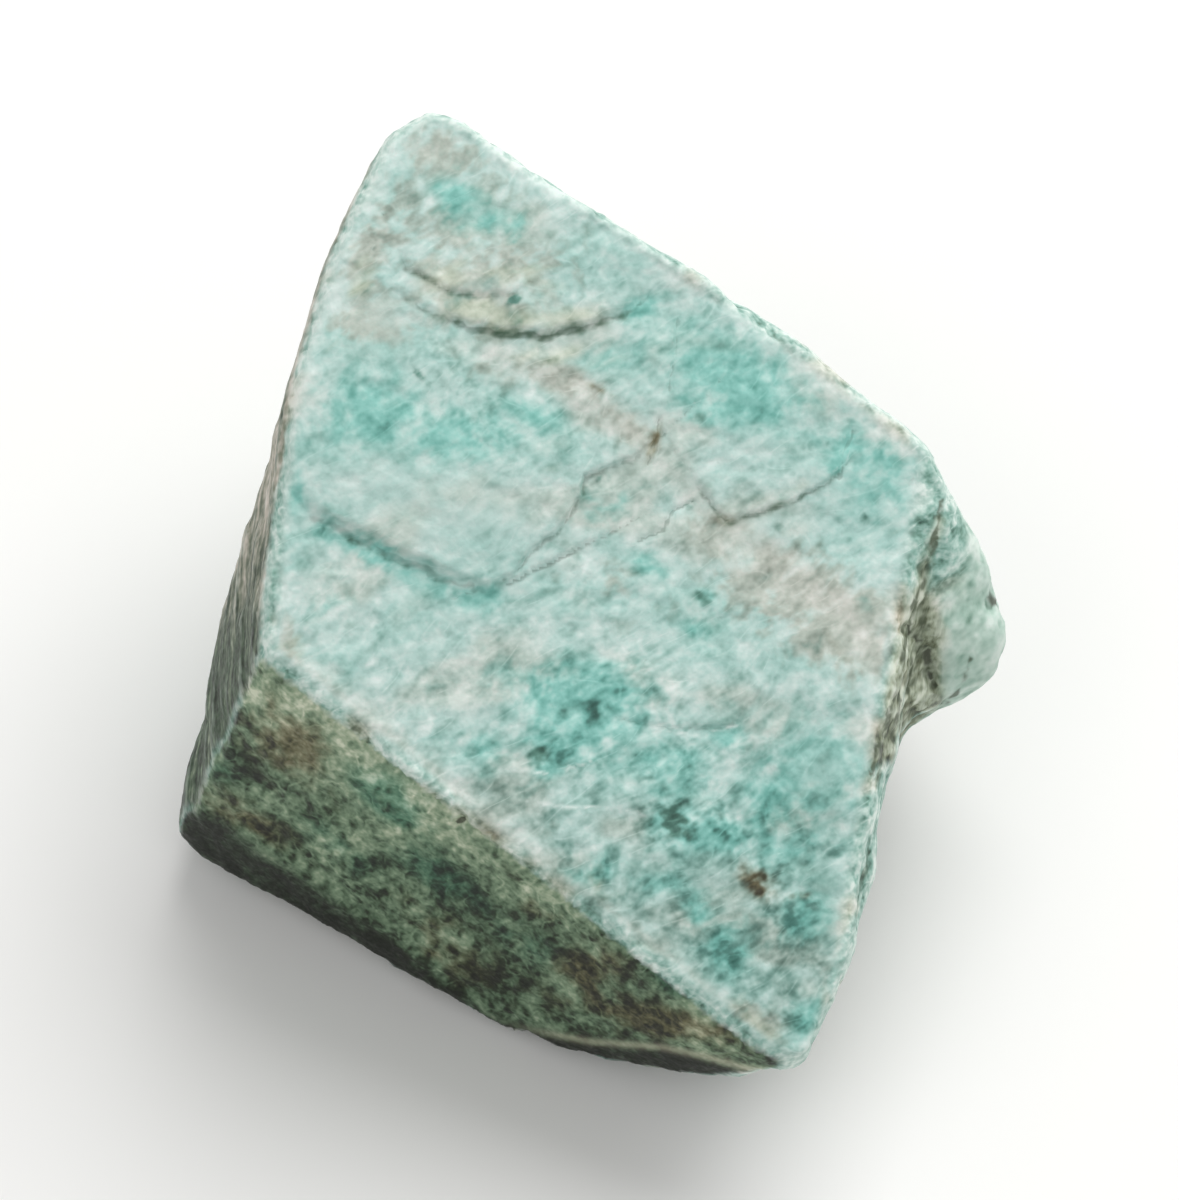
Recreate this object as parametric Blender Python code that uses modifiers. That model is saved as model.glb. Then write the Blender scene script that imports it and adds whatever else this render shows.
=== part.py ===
"""A rough lump of amazonite, the green-blue feldspar: one broken piece of stone, about 61 mm from tip to toe.

The lump is a block with a large flat cleavage face on top, which leans towards the front. A steep fracture
lies below it in front, a second cleavage runs down its left side, and a smaller knob is grown on at the right
behind a deep joint. It rests on a small flat spot.

Places on the stone are given on a chart: millimetres to the right and up, looked at from the front and from
CHART_ELEVATION above the table, with the height above the table as a third number where it isn't that of the
cleavage face. Hidden corners are given as plain X, Y and Z in millimetres.
"""

import math

import bmesh
import bpy
import numpy as np
from mathutils import Matrix, Vector, noise

MM = 0.001
CHART_ELEVATION = math.radians(60.0)
TOWARDS_CHART = Vector((0.0, -math.cos(CHART_ELEVATION), math.sin(CHART_ELEVATION)))

# The cleavage face is a plane: its height over the chart's origin, and how far it climbs for each
# millimetre to the right and for each millimetre up the chart.
FACE_HEIGHT = 25.0
FACE_CLIMB_RIGHT = -0.174
FACE_CLIMB_UP = 0.38

# The chart's origin is this far from the middle of the finished lump.
MIDDLE_X = 0.39
MIDDLE_Y = -10.94

# The second cleavage and the front fracture look in these directions.
LEFT_CLEAVAGE = (-0.97, 0.0, 0.24)
FRONT_FRACTURE = (-0.50, -0.86, 0.08)

VOXEL = 0.55
SMOOTHING_ROUNDS = 4
TRIANGLES = 9200
SEAT_DEPTH = 0.7

# Corners of the cleavage face, clockwise from the blunt tip.
FACE_CORNERS = [
    (-12.0, 29.2), (-9.7, 30.9), (-7.7, 30.4), (-1.0, 26.1), (6.7, 21.0), (14.5, 15.5),
    (20.9, 10.4), (16.3, -15.0), (15.7, -20.0), (14.4, -24.0), (13.6, -25.8), (11.9, -26.3),
    (10.2, -25.4), (-19.2, -2.0), (-18.6, 6.2), (-17.9, 14.0), (-15.5, 22.0),
]

# Corners below the cleavage face that show from the front: right, up, height.
SKIRT_CORNERS = [
    (-21.5, 1.1, 17.5), (-24.0, -10.9, 8.0), (-25.1, -12.6, 2.8), (-23.3, -14.3, 1.2),
    (-1.1, -24.8, 3.9), (-4.4, -24.9, 0.6), (-1.1, -26.1, 0.8), (4.5, -27.1, 3.2),
    (9.4, -26.4, 10.2), (10.4, -27.3, 7.4), (12.4, -26.9, 10.2), (17.5, -12.6, 9.0), (18.8, -8.3, 9.5),
]

# Corners round the back, then those of the flat spot under the lump: X, Y, Z.
BACK_CORNERS = [
    (-9.0, 15.2, 25.0), (-6.5, 15.6, 12.0), (2.0, 11.5, 21.0), (9.5, 8.8, 14.0),
    (17.5, 2.5, 13.0), (7.0, 10.0, 5.0), (-17.3, 4.5, 20.0), (-16.0, 6.0, 9.0),
]
SEAT_CORNERS = [
    (-13.0, -14.0), (-9.5, -17.5), (-3.0, -23.5), (3.0, -24.0), (7.5, -19.5), (9.0, -10.0),
    (5.5, -2.0), (-2.0, 1.5), (-9.0, 0.0), (-14.0, -7.0),
]

# The knob at the right: corners that show, then corners buried in the lump or under it.
KNOB_CORNERS = [
    (20.6, 9.9, 25.0), (21.5, 7.2, 23.8), (20.6, 5.0, 22.8), (22.7, 5.8, 21.2), (24.1, 3.5, 19.0),
    (25.0, 1.2, 17.3), (25.5, -0.4, 16.0), (25.3, -2.6, 14.4), (24.2, -3.8, 12.8), (21.6, -5.0, 11.6),
    (19.9, -6.3, 10.6), (19.2, 2.0, 20.0), (18.4, -3.0, 17.4), (18.2, -6.0, 14.6), (21.8, -1.0, 18.2),
]
KNOB_ROOTS = [
    (12.0, -12.0, 12.0), (12.0, -2.0, 15.0), (12.0, -8.0, 3.0), (18.0, -6.0, 4.5), (15.0, 3.0, 5.0),
]

# Blocks of stone that have broken away along the cleavage: middle of the opening, half its length, its depth
# and half its height in millimetres, and the direction that it came away in.
LOST_BLOCKS = [
    ((5.0, 11.0, 8.0), (8.0, 2.4, 5.5), (0.39, 0.92, 0.05)),
    ((-3.0, 13.8, 20.0), (5.0, 1.3, 4.0), (0.39, 0.92, 0.05)),
    ((15.0, 5.0, 16.0), (3.5, 1.6, 3.5), (0.62, 0.78, 0.1)),
    ((-12.5, 10.7, 9.0), (5.0, 2.0, 6.0), (-0.79, 0.62, 0.0)),
    ((-20.0, -3.0, 6.5), (5.5, 1.8, 4.5), (-0.90, 0.42, -0.10)),
    ((12.8, -24.0, 5.0), (5.0, 1.7, 3.0), (0.80, -0.25, -0.55)),
]

# Ledges on the cleavage face, as lines of points: right, up and the height of the step. The raised side
# is on the left of the line. Each slopes back to the face over its reach, and its riser has its own width.
LIP = [
    (-14.2, 21.2, 0.0), (-11.9, 19.7, 0.5), (-9.9, 18.7, 0.9), (-7.1, 17.3, 1.2),
    (-2.4, 16.8, 1.3), (1.9, 18.4, 1.0), (4.3, 19.9, 0.5), (6.4, 20.4, 0.0),
]
LIP_REACH = 7.0
INNER_LIP = [(-11.6, 23.4, 0.0), (-10.6, 21.2, 0.3), (-8.6, 19.9, 0.45), (-4.9, 19.5, 0.3), (-3.4, 20.2, 0.0)]
INNER_LIP_REACH = 2.5
PLATE = [
    (-19.0, 9.3, 0.5), (-18.2, 8.7, 0.5), (-16.9, 7.6, 0.6), (-14.7, 5.5, 0.9), (-12.4, 4.7, 1.1),
    (-8.6, 2.7, 1.0), (-5.7, 1.6, 0.7), (-4.5, 2.8, 0.3), (-1.9, 5.5, 0.2), (-0.5, 7.6, 0.3),
    (-0.3, 8.8, 0.4), (2.8, 9.7, 0.3), (4.1, 10.9, 0.0),
]
PLATE_REACH = 6.0
STEP_ARC = [(6.6, 8.6, 0.0), (8.6, 6.2, 0.4), (11.9, 7.3, 0.5), (14.7, 9.0, 0.4), (16.5, 11.0, 0.0)]
STEP_ARC_REACH = 4.0
LOW_STEP = [(3.8, -6.0, 0.0), (5.0, -6.3, 0.35), (8.6, -5.9, 0.35), (9.6, -4.8, 0.0)]
LOW_STEP_REACH = 3.0
STEEP_RISER = 0.7
SLOPING_RISER = 1.3
LEDGES = [
    (LIP, LIP_REACH, STEEP_RISER), (INNER_LIP, INNER_LIP_REACH, STEEP_RISER),
    (PLATE, PLATE_REACH, SLOPING_RISER), (STEP_ARC, STEP_ARC_REACH, STEEP_RISER),
    (LOW_STEP, LOW_STEP_REACH, STEEP_RISER),
]
LEDGE_BLEND = 1.5

# Holes that iron-stained grains have left in the joint beside the knob: right, up, radius and depth.
PITS = [
    (19.1, -0.3, 0.6, 0.7), (19.9, -0.8, 0.6, 0.6), (20.0, -2.2, 0.9, 0.8), (20.3, -3.2, 0.8, 0.9),
    (19.5, -5.4, 0.6, 0.6), (18.1, -6.6, 0.6, 0.6), (24.4, 1.3, 0.9, 0.8),
]

# Relief of the broken surfaces: the size of the forms and how far they stand out, in millimetres.
SWELL_SIZE = 13.0
SWELL_HEIGHT = 0.55
LUMP_SIZE = 4.5
LUMP_HEIGHT = 0.22
HACKLE_SIZE = 2.2
HACKLE_HEIGHT = 0.16
BLOCK_SIZES = (5.2, 3.6, 1.9)
BLOCK_HEIGHT = 0.75
SWELL_SPOT = Vector((3.7, 1.2, 9.4))
PATCH_SPOT = Vector((1.0, 7.0, 4.0))
PATCH_CONTRAST = 1.6
BEND = 0.66
BEND_SEED = 11

# How calm the relief is on the smoother surfaces, and how much of the swell is lost where it is calmest.
FACE_CALM = 0.85
FRONT_CALM = 0.93
LEFT_CALM = 0.6
KNOB_CALM = 0.6
SWELL_CALMED = 0.4

# Where those surfaces start: the cosine between the surface and their direction, and the ramp from there.
# The cleavage face also ends this far below its plane, and the knob starts this far to the right.
FACE_COSINE = (0.75, 0.2)
FRONT_COSINE = (0.62, 0.2)
LEFT_COSINE = (0.8, 0.15)
FACE_DEPTH = 2.5
FACE_DEPTH_RAMP = 1.5
KNOB_START = 18.5
KNOB_RAMP = 1.5
CRISP_EDGE = 3.0


def chart_to_stone(right, up, height):
    """The place in the stone's own frame, in millimetres, of a point on the chart."""
    across = (up - height * math.cos(CHART_ELEVATION)) / math.sin(CHART_ELEVATION)
    return Vector((right, across, height))


def face_height(right, up):
    """Height of the cleavage face above the table at a point of the chart."""
    return FACE_HEIGHT + FACE_CLIMB_RIGHT * right + FACE_CLIMB_UP * up


def face_direction():
    """The direction that the cleavage face looks in."""
    middle, right, up = (chart_to_stone(r, u, face_height(r, u)) for r, u in ((0, 0), (1, 0), (0, 1)))
    return (right - middle).cross(up - middle).normalized()


def clear_scene():
    for old in list(bpy.context.scene.objects):
        bpy.data.objects.remove(old, do_unlink=True)


def add_object(name, shape, collection):
    """A new object from a bmesh, which it uses up."""
    bmesh.ops.recalc_face_normals(shape, faces=shape.faces)
    mesh = bpy.data.meshes.new(name)
    shape.to_mesh(mesh)
    shape.free()
    made = bpy.data.objects.new(name, mesh)
    collection.objects.link(made)
    return made


def hull(name, corners, collection):
    """The block of stone that the corners span."""
    shape = bmesh.new()
    for corner in corners:
        shape.verts.new(corner)
    spanned = bmesh.ops.convex_hull(shape, input=shape.verts)
    inner = [item for item in spanned["geom_interior"] if isinstance(item, bmesh.types.BMVert)]
    bmesh.ops.delete(shape, geom=inner, context="VERTS")
    return add_object(name, shape, collection)


def lost_block(name, middle, half_sizes, direction, collection):
    """A block that broke away: its depth lies along the direction, its height as nearly off the cleavage."""
    depth = Vector(direction).normalized()
    length = depth.cross(face_direction()).normalized()
    turn = Matrix((length, depth, length.cross(depth))).transposed().to_4x4()
    shape = bmesh.new()
    size = Matrix.Diagonal((2 * half_sizes[0], 2 * half_sizes[1], 2 * half_sizes[2], 1.0))
    bmesh.ops.create_cube(shape, size=1.0, matrix=Matrix.Translation(middle) @ turn @ size)
    return add_object(name, shape, collection)


def join_or_cut(target, other, operation):
    """Adds a Boolean of another object, which becomes a guide that isn't part of the stone."""
    step = target.modifiers.new(other.name, "BOOLEAN")
    step.operation = operation
    step.object = other
    step.solver = "EXACT"
    other.hide_render = True
    other.display_type = "WIRE"


def block_out(stone_set, cutter_set):
    """The lump as plain broken blocks, then one even skin with its edges worn round."""
    top = [chart_to_stone(right, up, face_height(right, up)) for right, up in FACE_CORNERS]
    skirt = [chart_to_stone(*corner) for corner in SKIRT_CORNERS]
    seat = [(x, y, -SEAT_DEPTH) for x, y in SEAT_CORNERS]
    stone = hull("amazonite", top + skirt + BACK_CORNERS + seat, stone_set)
    knob = hull("knob", [chart_to_stone(*corner) for corner in KNOB_CORNERS] + KNOB_ROOTS, cutter_set)
    join_or_cut(stone, knob, "UNION")
    for number, (middle, half_sizes, direction) in enumerate(LOST_BLOCKS):
        block = lost_block(f"lost_block_{number}", middle, half_sizes, direction, cutter_set)
        join_or_cut(stone, block, "DIFFERENCE")
    skin = stone.modifiers.new("even skin", "REMESH")
    skin.mode = "VOXEL"
    skin.voxel_size = VOXEL
    wear = stone.modifiers.new("worn edges", "SMOOTH")
    wear.factor = 0.5
    wear.iterations = SMOOTHING_ROUNDS
    settle(stone)
    return stone


def settle(target):
    """Makes the modifiers' result the object's own mesh."""
    evaluated = target.evaluated_get(bpy.context.evaluated_depsgraph_get())
    mesh = bpy.data.meshes.new_from_object(evaluated)
    target.modifiers.clear()
    target.data = mesh


def ledge_heights(right, up, line, reach, riser_width):
    """Height that one ledge adds at each chart point: a step at the line, which slopes back over its reach."""
    nearest = np.full(right.shape, 1e9)
    side = np.zeros(right.shape)
    weights = np.zeros(right.shape)
    steps = np.zeros(right.shape)
    for (r0, u0, h0), (r1, u1, h1) in zip(line, line[1:]):
        run_r, run_u = r1 - r0, u1 - u0
        length = math.hypot(run_r, run_u)
        along = np.clip(((right - r0) * run_r + (up - u0) * run_u) / length**2, 0.0, 1.0)
        distance = np.hypot(right - r0 - along * run_r, up - u0 - along * run_u)
        off_line = ((up - u0) * run_r - (right - r0) * run_u) / length
        closer = distance < nearest
        nearest = np.where(closer, distance, nearest)
        side = np.where(closer, np.sign(off_line), side)
        weight = length * np.exp(-distance / LEDGE_BLEND)
        weights += weight
        steps += weight * (h0 + (h1 - h0) * along)
    away = np.maximum(-LEDGE_BLEND * np.log(weights / LEDGE_BLEND), 0.0)
    rise = smooth_step(side * nearest / riser_width + 0.5)
    return steps / weights * rise * np.exp(-((away / reach) ** 2))


def smooth_step(x):
    """An even ramp from 0 to 1 with soft ends."""
    x = np.clip(x, 0.0, 1.0)
    return x * x * (3.0 - 2.0 * x)


def facing(normals, direction, start, ramp):
    """1 where the surface looks in a direction, falling to 0 where the cosine between them is the start."""
    return smooth_step((normals @ np.array(direction) - start) / ramp)


def cleavage_axes():
    """The directions that the stone splits along: off the top face, off the left side, and across both."""
    level = face_direction()
    left = Vector(LEFT_CLEAVAGE)
    left = (left - level * left.dot(level)).normalized()
    return level, left, level.cross(left)


def relief(place, axes, calm, blocky):
    """How far the broken surface stands out at a place, in millimetres. Calm is 1 where it is smoothest, and
    blocky is 1 where it has broken in small blocks along the cleavage."""
    swell = SWELL_HEIGHT * noise.noise(place / SWELL_SIZE + SWELL_SPOT)
    lump = LUMP_HEIGHT * noise.fractal(place / LUMP_SIZE, 1.0, 2.0, 2)
    hackle = HACKLE_HEIGHT * (noise.ridged_multi_fractal(place / HACKLE_SIZE, 1.0, 2.0, 2, 1.0, 2.0) - 1.0)
    bent = place + BEND * noise.noise_vector(place / LUMP_SIZE)
    level, left, across = axes
    cell = Vector((
        bent.dot(across) / BLOCK_SIZES[0], bent.dot(left) / BLOCK_SIZES[1], bent.dot(level) / BLOCK_SIZES[2]
    ))
    patch = smooth_step(0.5 + PATCH_CONTRAST * noise.noise(place / SWELL_SIZE + PATCH_SPOT))
    blocks = BLOCK_HEIGHT * blocky * patch * (noise.cell(cell) - 0.5)
    return swell * (1.0 - SWELL_CALMED * calm) + (lump + hackle + blocks) * (1.0 - calm)


def break_surface(stone):
    """Gives the even skin the ledges of its cleavage face and the lumps of its fractures."""
    mesh = stone.data
    count = len(mesh.vertices)
    places = np.empty(count * 3)
    normals = np.empty(count * 3)
    mesh.vertices.foreach_get("co", places)
    mesh.vertices.foreach_get("normal", normals)
    places = places.reshape(count, 3)
    normals = normals.reshape(count, 3)
    noise.seed_set(BEND_SEED)
    axes = cleavage_axes()
    direction = np.array(axes[0])
    right = places[:, 0]
    up = places[:, 1] * math.sin(CHART_ELEVATION) + places[:, 2] * math.cos(CHART_ELEVATION)
    below = face_height(right, up) - places[:, 2]
    on_face = facing(normals, direction, *FACE_COSINE) * smooth_step((FACE_DEPTH - below) / FACE_DEPTH_RAMP)
    on_front = facing(normals, FRONT_FRACTURE, *FRONT_COSINE)
    on_left = facing(normals, axes[1], *LEFT_COSINE)
    on_knob = smooth_step((right - KNOB_START) / KNOB_RAMP)
    calm_parts = (on_face * FACE_CALM, on_front * FRONT_CALM, on_left * LEFT_CALM, on_knob * KNOB_CALM)
    calm = np.max(calm_parts, axis=0)
    blocky = smooth_step(below / CRISP_EDGE)
    raised = sum(ledge_heights(right, up, *ledge) for ledge in LEDGES) * on_face
    pitted = sum(
        depth * np.exp(-((right - r) ** 2 + (up - u) ** 2) / radius**2) for r, u, radius, depth in PITS
    ) * (normals @ np.array(TOWARDS_CHART) > 0.0)
    moved = places + direction * raised[:, None] - np.array(TOWARDS_CHART) * pitted[:, None]
    for index in range(count):
        out = relief(Vector(places[index]), axes, calm[index], blocky[index])
        moved[index] += normals[index] * out
    mesh.vertices.foreach_set("co", moved.ravel())
    mesh.update()


def thin_out(stone):
    """Fewer, larger facets where the surface is plain."""
    facets = stone.modifiers.new("facets", "DECIMATE")
    facets.ratio = TRIANGLES / (2 * len(stone.data.polygons))
    facets.use_collapse_triangulate = True
    settle(stone)


def seat_and_scale(stone):
    """Cuts the flat spot, puts the origin under the middle of the lump and turns millimetres into metres."""
    shape = bmesh.new()
    shape.from_mesh(stone.data)
    everything = shape.verts[:] + shape.edges[:] + shape.faces[:]
    cut = bmesh.ops.bisect_plane(
        shape, geom=everything, dist=0.0001, plane_co=(0, 0, 0), plane_no=(0, 0, 1), clear_inner=True
    )
    rim = [item for item in cut["geom_cut"] if isinstance(item, bmesh.types.BMEdge)]
    bmesh.ops.triangle_fill(shape, edges=rim, use_beauty=True)
    bmesh.ops.triangulate(shape, faces=shape.faces)
    bmesh.ops.recalc_face_normals(shape, faces=shape.faces)
    bmesh.ops.translate(shape, verts=shape.verts, vec=(-MIDDLE_X, -MIDDLE_Y, 0.0))
    bmesh.ops.scale(shape, verts=shape.verts, vec=(MM, MM, MM))
    shape.to_mesh(stone.data)
    shape.free()


def feldspar():
    """Weathered amazonite: pale blue-green and dull, neither metal nor polished."""
    material = bpy.data.materials.new("weathered amazonite")
    material.use_nodes = True
    shader = material.node_tree.nodes["Principled BSDF"]
    shader.inputs["Base Color"].default_value = (0.30, 0.47, 0.42, 1.0)
    shader.inputs["Roughness"].default_value = 0.62
    shader.inputs["Metallic"].default_value = 0.0
    return material


def build():
    clear_scene()
    stone_set = bpy.data.collections.new("rough amazonite")
    cutter_set = bpy.data.collections.new("cutters")
    bpy.context.scene.collection.children.link(stone_set)
    bpy.context.scene.collection.children.link(cutter_set)
    stone = block_out(stone_set, cutter_set)
    break_surface(stone)
    thin_out(stone)
    seat_and_scale(stone)
    stone.data.materials.clear()
    stone.data.materials.append(feldspar())


build()
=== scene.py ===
"""The looks of a rough lump of amazonite: its broken surface in fine mesh, its weathered feldspar, and a
plain studio to see it in.

Marks and ledges are placed on a chart of the stone: millimetres to the right and up, as seen from the front
and from CHART_ELEVATION above the table.
"""

import math

import bmesh
import bpy
import numpy as np
from mathutils import Matrix, Vector, noise


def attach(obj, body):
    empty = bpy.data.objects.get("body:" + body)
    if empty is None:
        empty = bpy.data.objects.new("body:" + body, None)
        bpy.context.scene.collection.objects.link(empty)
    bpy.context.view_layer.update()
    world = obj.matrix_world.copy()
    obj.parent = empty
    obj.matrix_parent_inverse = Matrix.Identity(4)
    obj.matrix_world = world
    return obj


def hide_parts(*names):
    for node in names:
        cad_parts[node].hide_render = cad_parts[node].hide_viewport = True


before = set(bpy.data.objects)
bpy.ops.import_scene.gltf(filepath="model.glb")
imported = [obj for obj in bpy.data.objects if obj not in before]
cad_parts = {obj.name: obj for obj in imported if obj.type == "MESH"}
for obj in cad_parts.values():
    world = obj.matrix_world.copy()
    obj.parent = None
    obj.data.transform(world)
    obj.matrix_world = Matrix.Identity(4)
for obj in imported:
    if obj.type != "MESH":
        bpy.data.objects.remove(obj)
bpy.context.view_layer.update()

MM = 0.001
CHART_ELEVATION = math.radians(60.0)
TOWARDS_CHART = Vector((0.0, -math.cos(CHART_ELEVATION), math.sin(CHART_ELEVATION)))
# Where the chart's origin lies in the stone's frame.
CHART_X = -0.39
CHART_Y = 10.94

# The cleavage face on top is a plane: its height over the chart's origin, and its climb for each millimetre
# to the right and for each millimetre up the chart.
FACE_HEIGHT = 25.0
FACE_CLIMB_RIGHT = -0.174
FACE_CLIMB_UP = 0.38
FACE_OUTLINE = [
    (-12.0, 29.2), (-9.7, 30.9), (-7.7, 30.4), (-1.0, 26.1), (6.7, 21.0), (14.5, 15.5),
    (20.9, 10.4), (16.3, -15.0), (15.7, -20.0), (14.4, -24.0), (13.6, -25.8), (11.9, -26.3),
    (10.2, -25.4), (-19.2, -2.0), (-18.6, 6.2), (-17.9, 14.0), (-15.5, 22.0),
]
LEFT_CLEAVAGE = (-0.97, 0.0, 0.24)
FRONT_FRACTURE = (-0.50, -0.86, 0.08)
BACK_FRACTURE = (0.39, 0.92, 0.05)
# The edge between the cleavage face and the front fracture, and the lower edge of that fracture.
RIDGE = [(-19.2, -2.0), (10.2, -25.4)]
LOWER_EDGE = [
    (-24.0, -10.9), (-22.2, -11.7), (-19.4, -13.9), (-16.4, -15.8), (-6.6, -23.3), (-3.7, -24.3),
    (0.2, -25.0), (4.5, -25.2), (7.0, -25.7), (9.2, -26.3), (11.2, -26.7),
]

# The even skin that carries the relief. It is finer on the two faces that show most, and as coarse as keeps
# the whole stone under 200,000 triangles.
SKIN_VOXEL = 0.45
SKIN_SMOOTHING = 7
FINER_ABOVE = 0.9

# Ledges on the cleavage face: right, up and the height of the step, which is raised on the left of the line.
LIP = [
    (-12.8, 20.6, 0.0), (-11.4, 19.8, 0.08), (-9.9, 19.1, 0.15), (-8.6, 18.3, 0.22), (-7.1, 17.7, 0.35),
    (-4.8, 17.3, 0.45), (-2.4, 17.2, 0.45), (-0.2, 17.6, 0.40), (1.9, 18.5, 0.25), (4.3, 19.9, 0.1),
    (6.4, 20.4, 0.0),
]
INNER_LIP = [
    (-11.6, 23.4, 0.0), (-11.0, 22.2, 0.1), (-10.4, 20.9, 0.2), (-8.6, 19.9, 0.25), (-6.6, 19.4, 0.25),
    (-4.9, 19.5, 0.2), (-3.4, 20.2, 0.0),
]
PLATE = [
    (-19.0, 9.3, 0.3), (-18.2, 8.7, 0.3), (-16.9, 7.6, 0.4), (-14.7, 5.7, 0.6), (-12.4, 4.8, 0.7),
    (-10.4, 3.8, 0.7), (-8.6, 3.0, 0.6), (-5.7, 1.9, 0.3), (-4.9, 2.3, 0.0),
]
PLATE_END = [
    (-6.4, 2.1, 0.0), (-4.5, 2.8, 0.25), (-3.3, 4.3, 0.30), (-1.9, 5.5, 0.30), (-0.5, 7.6, 0.35),
    (-0.3, 8.8, 0.35), (2.8, 9.7, 0.25), (4.1, 10.9, 0.0),
]
STEP_ARC = [
    (6.6, 8.6, 0.0), (7.6, 7.2, 0.2), (8.6, 6.2, 0.25), (10.2, 6.6, 0.3), (11.9, 7.3, 0.3),
    (13.4, 7.9, 0.3), (14.7, 9.0, 0.2), (16.5, 11.0, 0.0),
]
LOW_STEP = [(3.8, -6.0, 0.0), (5.0, -6.3, 0.15), (8.6, -5.9, 0.15), (9.6, -4.8, 0.0)]
GREEN_STEP = [(4.6, 12.2, 0.0), (4.9, 14.0, 0.15), (5.3, 17.0, 0.15), (5.2, 19.2, 0.0)]
# Each with the reach over which it slopes back to the face, the width of its riser, and how dark the shadow
# painted at its foot is.
LEDGES = [
    (LIP, 7.0, 0.45, 1.8), (INNER_LIP, 3.0, 0.35, 2.0), (PLATE, 7.0, 0.9, 0.2), (PLATE_END, 5.0, 0.4, 1.1),
    (STEP_ARC, 5.0, 0.35, 1.8), (LOW_STEP, 3.0, 0.3, 1.5), (GREEN_STEP, 3.0, 0.3, 1.2),
]
# How softly a ledge runs on from one stretch to the next, and the half widths of the painted shadow at its
# foot and the painted highlight on its brow.
LEDGE_BLEND = 1.5
LEDGE_FOOT = 0.28
LEDGE_BROW = 0.5

# Cracks in the cleavage face, with their half width and depth, and how much of the ledges' bends they take.
CRACKS = [
    ([(4.3, 12.1), (4.1, 10.9), (3.7, 9.5)], 0.14, 0.20),
    ([(6.4, 7.3), (5.2, 6.7), (4.5, 5.5), (3.1, 4.9)], 0.14, 0.18),
    ([(15.9, 11.4), (15.3, 10.0), (15.1, 8.7)], 0.22, 0.18),
]
CRACK_BEND = 0.5
# White threads of albite that show singly, with their half width.
LONG_THREADS = [
    [(-3.5, -10.5), (-1.4, -10.8), (1.2, -10.9), (4.1, -11.4)], [(4.6, -6.4), (6.7, -6.6), (8.9, -6.0)],
    [(-4.6, -8.6), (-2.0, -8.9), (0.2, -8.1)],
]
THREAD_HALF_WIDTH = 0.08
# Dark seams between the cleavage face, the joint and the knob.
SEAMS = [
    [(21.2, 7.2), (20.7, 4.6), (19.5, 1.0), (18.5, -3.5), (17.9, -6.0), (16.9, -8.8)],
    [(20.2, 0.6), (19.6, -1.6), (19.0, -4.2), (18.0, -7.0)],
    [(23.0, -1.8), (22.6, -3.6), (21.4, -5.0)],
]
SEAM_HALF_WIDTH = 0.13

# The joint beside the knob, and how softly its edge comes in.
JOINT_OUTLINE = [
    (21.0, 6.1), (20.3, 1.9), (21.4, -0.6), (21.1, -2.9), (21.6, -4.9), (19.0, -8.3), (17.0, -8.3),
    (18.2, -2.0), (19.3, 1.9),
]
JOINT_FADE = 0.8
# Holes: right, up, radius and depth. All lie in the joint but the last five: three on the knob, and two on
# the ridge.
PITS = [
    (19.1, -0.3, 0.35, 0.25), (19.8, -0.9, 0.3, 0.25), (20.3, -2.0, 0.5, 0.3), (20.5, -3.1, 0.4, 0.3),
    (20.9, -3.8, 0.35, 0.25), (19.9, -5.5, 0.3, 0.2), (21.5, -5.0, 0.3, 0.2), (18.4, -6.8, 0.35, 0.25),
    (24.4, 1.3, 0.55, 0.3), (24.7, 2.1, 0.4, 0.2), (24.2, 3.1, 0.3, 0.2), (-13.0, -6.9, 0.22, 0.25),
    (-7.3, -11.6, 0.3, 0.3),
]
# A distance up the chart counts for this much, so the holes are longer that way. Their dark spots are this
# much tighter than the holes.
PIT_STRETCH = 0.75
PIT_TIGHTNESS = 0.8

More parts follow.
